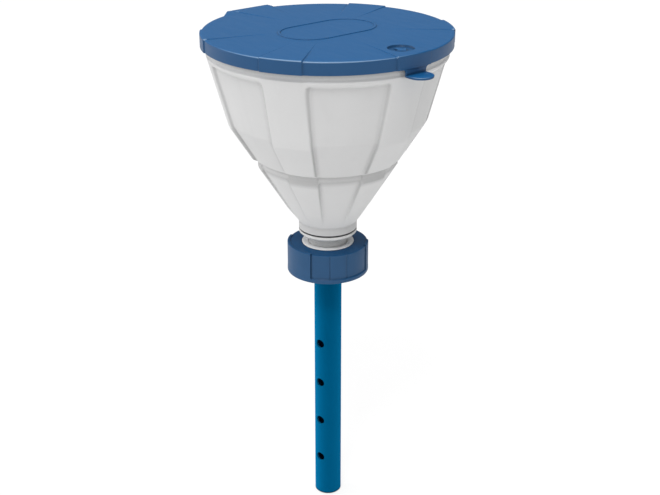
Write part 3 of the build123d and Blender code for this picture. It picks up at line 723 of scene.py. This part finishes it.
def lid_top(r, off):
    """The height of the top at a radius; off is the angle from the middle of the nearest wedge."""
    dome = LID_EDGE_Z + LID_DOME * (1.0 - (r / LID_R) ** 2)
    rise = max(0.0, WEDGE_Z - dome)
    foot = smooth(0.7, 0.0, abs(off - WEDGE_HALF - WEDGE_SIDE))
    wedge = smooth(WEDGE_HALF + WEDGE_SIDE, WEDGE_HALF - WEDGE_SIDE, off)
    return dome + wedge * rise - WEDGE_CREASE * foot * smooth(0.0, 0.5, rise)


def lid_section(azimuth):
    off = wedge_off(azimuth)
    wedge = smooth(WEDGE_HALF + WEDGE_SIDE, WEDGE_HALF - WEDGE_SIDE, off)
    block = block_r(azimuth)
    outer = max(LID_R + (WEDGE_R - LID_R) * wedge, block)
    edge_z = lid_top(LID_R, off)
    if block > LID_R:
        edge_z = WEDGE_Z
    section = [(r, lid_top(r, off)) for r in DISC_RADII]
    rim = path(
        [
            (DISC_RADII[-1], lid_top(DISC_RADII[-1], off), 0.0, 1),
            (outer, edge_z, LID_FILLET, 4),
            (outer, SKIRT_Z, 0.4, 1),
            (LID_BORE_R, SKIRT_Z, 0.25, 2),
            (LID_BORE_R, LID_PLATE_Z, 0.8, 2),
            (GASKET_RIB[1], LID_PLATE_Z, 0.3, 1),
            (GASKET_RIB[1], GASKET_RIB[2], 0.4, 1),
            (GASKET_RIB[0], GASKET_RIB[2], 0.4, 1),
            (GASKET_RIB[0], LID_PLATE_Z + 0.1, 0.5, 4),
            (60.0, LID_PLATE_Z + 0.5, 20.0, 4),
            (0.0, LID_PLATE_Z + LID_DOME, 0.0, 1),
        ],
        closed=False,
    )
    return section + rim[1:]


wedge_edges = [rib + side * WEDGE_HALF for rib in RIB_AZIMUTHS for side in (-1, 1)]
lid_azimuths = azimuth_grid(wedge_edges, 1.1, 0.1, 2.5)
block_corners = [math.degrees(math.atan2(y, x)) for x, y in BLOCK[1:3]]
block_azimuths = azimuth_grid(block_corners, 2.4, 0.3, 360.0)
lid_azimuths = sorted(set(lid_azimuths) | set(block_azimuths) | set(BLOCK_START))
lid_shell = turned("lid_shell", lid_section, lid_azimuths, "lid", LID_BLUE, 50.0)
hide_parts("lid")

# Thumb tab: a strip that carries on down from the wedge, and a round tongue.
shoulder, hook_z = TAB_HALF + TAB_FILLET, SKIRT_Z - TAB_FILLET
strip = [(TAB_X - shoulder - 0.5, SKIRT_Z + 1.5)]
strip += arc(TAB_X - shoulder, hook_z, TAB_FILLET, 90.0, 0.0, 6)
strip += [(TAB_X - TAB_HALF, TAB_Z + 0.3), (TAB_X + TAB_HALF, TAB_Z + 0.3)]
strip += arc(TAB_X + shoulder, hook_z, TAB_FILLET, 180.0, 90.0, 6)
strip += [(TAB_X + shoulder + 0.5, SKIRT_Z + 1.5)]
prism(
    "lid_tab_strip", strip, WEDGE_R - TAB_THICK, WEDGE_R + 0.02, "wrap", 0.3, "lid", LID_BLUE,
)
tongue = [(TAB_X + TAB_HALF, 0.8 - WEDGE_R)] + arc(TAB_X, TONGUE_Y, TAB_HALF, 0.0, -180.0, 36)
tongue += [(TAB_X - TAB_HALF, 0.8 - WEDGE_R)]
prism("lid_tab_tongue", tongue, TAB_Z, TAB_Z + TONGUE_THICK, "xy", 0.5, "lid", LID_BLUE)

# Hinge knuckle and the web that carries it.
knuckle = [(110.0, 195.7), (116.0, 195.7)] + arc(HINGE_Y, HINGE_Z, KNUCKLE_R, 33.5, -233.4, 26)
prism("lid_knuckle", knuckle, -KNUCKLE_HALF, KNUCKLE_HALF, "yz", 0.3, "lid", LID_BLUE)


def obround(length, width, parts=24):
    half, r = (length - width) / 2.0, width / 2.0
    return arc(half, 0.0, r, -90.0, 90.0, parts) + arc(-half, 0.0, r, 90.0, 270.0, parts)


def raised_outline(name, length, width, line, height, body, material, slot):
    """A rounded line that stands on the lid, round a blank panel."""
    rings = [(0.0, -0.5), (0.05, 0.1), (0.35, 0.8), (0.8, 1.0)]  # inset, share of the height
    rings += [(line - inset, rise) for inset, rise in reversed(rings)]
    loops = []
    for inset, rise in rings:
        loop = []
        for x, y in obround(length - 2.0 * inset, width - 2.0 * inset):
            loop.append((x, y, lid_top(math.hypot(x, y), 30.0) + rise * height))
        loops.append(loop)
    count, per = len(loops), len(loops[0])
    faces = [
        (
            i * per + j,
            i * per + (j + 1) % per,
            (i + 1) % count * per + (j + 1) % per,
            (i + 1) % count * per + j,
        )
        for i in range(count)
        for j in range(per)
    ]
    return new_piece(name, [v for loop in loops for v in loop], faces, body, material, 50.0)


raised_outline("lid_name_panel", *NAME_PANEL, "lid", LID_BLUE, "lid_blue")


def carve(obj, cutter):
    """Cuts one mesh out of another and removes the cutter."""
    cut = obj.modifiers.new("cut", "BOOLEAN")
    cut.operation = "DIFFERENCE"
    cut.solver = "EXACT"
    cut.object = cutter
    bpy.context.view_layer.update()
    result = bpy.data.meshes.new_from_object(obj.evaluated_get(bpy.context.evaluated_depsgraph_get()))
    obj.modifiers.clear()
    obj.data = result
    bpy.data.objects.remove(cutter)
    shade(obj, 50.0)


# Round recess with a lift arrow standing in it.
floor_z = WEDGE_Z - LIFT_DEPTH
dish = [(0.0, floor_z), (LIFT_R - 0.7, floor_z), (LIFT_R - 0.3, floor_z + 0.25),
        (LIFT_R, WEDGE_Z - 0.05), (LIFT_R + 0.1, WEDGE_Z + 0.1), (LIFT_R + 0.1, WEDGE_Z + 2.0),
        (0.0, WEDGE_Z + 2.0)]
cutter = turned(
    "cutter", lambda azimuth: dish, [360.0 * k / 72 for k in range(72)], "lid", LID_BLUE,
)
cutter.data.transform(Matrix.Translation((LIFT_X * MM, LIFT_Y * MM, 0.0)))
carve(lid_shell, cutter)
# Painted shade in the lift recess.
sunk = lid_shell.data.attributes.new("recess", "FLOAT", "POINT")
for vertex, value in zip(lid_shell.data.vertices, sunk.data):
    x, y, z = (c / MM for c in vertex.co)
    if math.hypot(x - LIFT_X, y - LIFT_Y) < LIFT_R + 0.05 and floor_z - 0.1 < z < WEDGE_Z - 0.1:
        value.value = 1.0
arrow = [(0.0, -6.5), (6.0, 0.5), (2.2, 0.5), (2.2, 6.5), (-2.2, 6.5), (-2.2, 0.5), (-6.0, 0.5)]
arrow = [(LIFT_X + x, LIFT_Y + y) for x, y in arrow]
prism("lid_lift_arrow", arrow, floor_z - 0.3, floor_z + 0.7, "xy", 0.2, "lid", LID_BLUE)

# ------------------------------------------------------------------ union nut
NOTCH_AZIMUTH = NUT_PADS[0][0] + NUT_PADS[0][1]


def nut_section(azimuth):
    crease, crease_half, crease_off = NUT_PAD_CREASE
    outside = [apart(azimuth, middle) - half for middle, half in NUT_PADS]
    pad = max(smooth(NUT_PAD_SIDE, -NUT_PAD_SIDE, off) for off in outside)
    foot = max(smooth(crease_half, 0.0, abs(off - crease_off)) for off in outside)
    groove = max(depth * smooth(half, 0.2, apart(azimuth, g)) for g, depth, half in NUT_GROOVES)
    notch_depth, notch_edge, notch_floor = NUT_NOTCH
    in_notch = smooth(notch_edge, notch_floor, apart(azimuth, NOTCH_AZIMUTH + notch_floor))
    drop = notch_depth * in_notch - NUT_PAD_RISE * pad
    outer = NUT_R + (NUT_PAD_R - NUT_R) * pad - groove - crease * foot
    low, top = NUT_Z
    section = path([
        (NUT_BORE_R + 1.0, low, 0.0, 2),
        (NUT_FOOT_R, low, 0.7, 1),
        (NUT_FOOT_R, low + NUT_FOOT, 0.5, 1),
        (outer, low + NUT_FOOT + 1.1, 0.4, 4),
        (outer, top, 0.9, 1),
        (NUT_LIP_R + 0.2, top, 0.0, 1),
        (NUT_LIP_R - 0.2, top, 0.0, 4),
        (NUT_HOLE_R, top, 0.5, 1),
        (NUT_HOLE_R, NUT_CEILING_Z, 0.3, 2),
        (NUT_BORE_R, NUT_CEILING_Z, 0.5, 3),
        (NUT_BORE_R, low + 1.0, 0.0, 1),
    ])
    return [(r, z - drop if r > NUT_LIP_R and z > top - 2.0 else z) for r, z in section]


nut_edges = [middle + side * half for middle, half in NUT_PADS for side in (-1, 1)]
nut_azimuths = azimuth_grid(nut_edges + [g for g, _, _ in NUT_GROOVES], 2.6, 0.15, 3.0)
nut_shell = turned("nut_shell", nut_section, nut_azimuths, "nut", NUT_BLUE, 35.0)
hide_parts("union_nut")
helix("nut_thread", NUT_BORE_R, *NUT_THREAD, NUT_RIDGE, "nut", NUT_BLUE, "nut_blue")
helix("spigot_thread", SPIGOT_R, *SPIGOT_THREAD, SPIGOT_RIDGE, "funnel", INSERT_WHITE, "insert_white")

# ------------------------------------------------------------------ floor, light and camera
floor_mesh = bpy.data.meshes.new("floor")
corners = [(x * FLOOR_HALF, y * FLOOR_HALF, FLOOR_Z) for x, y in ((-1, -1), (1, -1), (1, 1), (-1, 1))]
floor_mesh.from_pydata(corners, [], [(0, 1, 2, 3)])
floor = bpy.data.objects.new("floor", floor_mesh)
bpy.context.scene.collection.objects.link(floor)
n = Nodes("floor")
mottle = n.mix(n.noise(3.0, 2.0, 0.5), colour(0.755, 0.755, 0.755), colour(0.775, 0.775, 0.775))
matt = n.add("ShaderNodeBsdfDiffuse", Color=mottle)
glow = n.add("ShaderNodeEmission", Color=colour(1.0, 1.0, 1.0), Strength=GLOW)
share = n.math("MULTIPLY", n.add("ShaderNodeLightPath").outputs["Is Camera Ray"], GLOW_SHARE)
n.put(n.add("ShaderNodeOutputMaterial").inputs["Surface"], n.blend(share, matt, glow))
floor.data.materials.append(n.material)

a, e = math.radians(CAMERA_AZ), math.radians(CAMERA_EL)
back = (math.sin(a) * math.cos(e), -math.cos(a) * math.cos(e), math.sin(e))
right = (math.cos(a), math.sin(a), 0.0)


def toward(azimuth, elevation):
    """The way to a light; azimuths are round from the camera, and negative to its left."""
    la, le = math.radians(CAMERA_AZ + azimuth), math.radians(elevation)
    return (math.sin(la) * math.cos(le), -math.cos(la) * math.cos(le), math.sin(le))


world = bpy.data.worlds.new("studio")  # a pale room, brighter on the camera's left
bpy.context.scene.world = world
world.use_nodes = True
tree = world.node_tree
facing = tree.nodes.new("ShaderNodeVectorMath")
facing.operation = "DOT_PRODUCT"
facing.inputs[1].default_value = toward(*ROOM_BRIGHT_SIDE)
level = tree.nodes.new("ShaderNodeMapRange")
for socket, number in zip(list(level.inputs)[1:], (-1.0, 1.0) + ROOM_LEVELS):
    socket.default_value = number
tree.links.new(tree.nodes.new("ShaderNodeTexCoord").outputs["Generated"], facing.inputs[0])
tree.links.new(facing.outputs["Value"], level.inputs[0])
tree.links.new(level.outputs[0], tree.nodes["Background"].inputs["Strength"])
tree.nodes["Background"].inputs["Color"].default_value = colour(1.0, 1.0, 1.0)


def soft_sun(name, azimuth, elevation, strength, spread):
    """A broad soft light from far away."""
    data = bpy.data.lights.new(name, "SUN")
    data.energy = strength
    data.angle = math.radians(spread)
    light = bpy.data.objects.new(name, data)
    bpy.context.scene.collection.objects.link(light)
    out = toward(azimuth, elevation)
    light.location = out
    light.rotation_mode = "QUATERNION"
    light.rotation_quaternion = Vector(out).to_track_quat("Z", "Y")


soft_sun("overhead", 0.0, 88.0, 1.25, 70.0)
soft_sun("key", -14.0, 58.0, 0.9, 14.0)
soft_sun("side", -105.0, 30.0, 0.7, 50.0)

camera_data = bpy.data.cameras.new("camera")
camera_data.lens = CAMERA_LENS
camera_data.sensor_width = 36.0
camera_data.clip_end = 30.0
camera = bpy.data.objects.new("camera", camera_data)
bpy.context.scene.collection.objects.link(camera)
camera.location = [b * CAMERA_D + r * CAMERA_SHIFT for b, r in zip(back, right)]
camera.rotation_mode = "QUATERNION"
camera.rotation_quaternion = Vector(back).to_track_quat("Z", "Y")
bpy.context.scene.camera = camera
bpy.context.scene.view_settings.view_transform = "Standard"
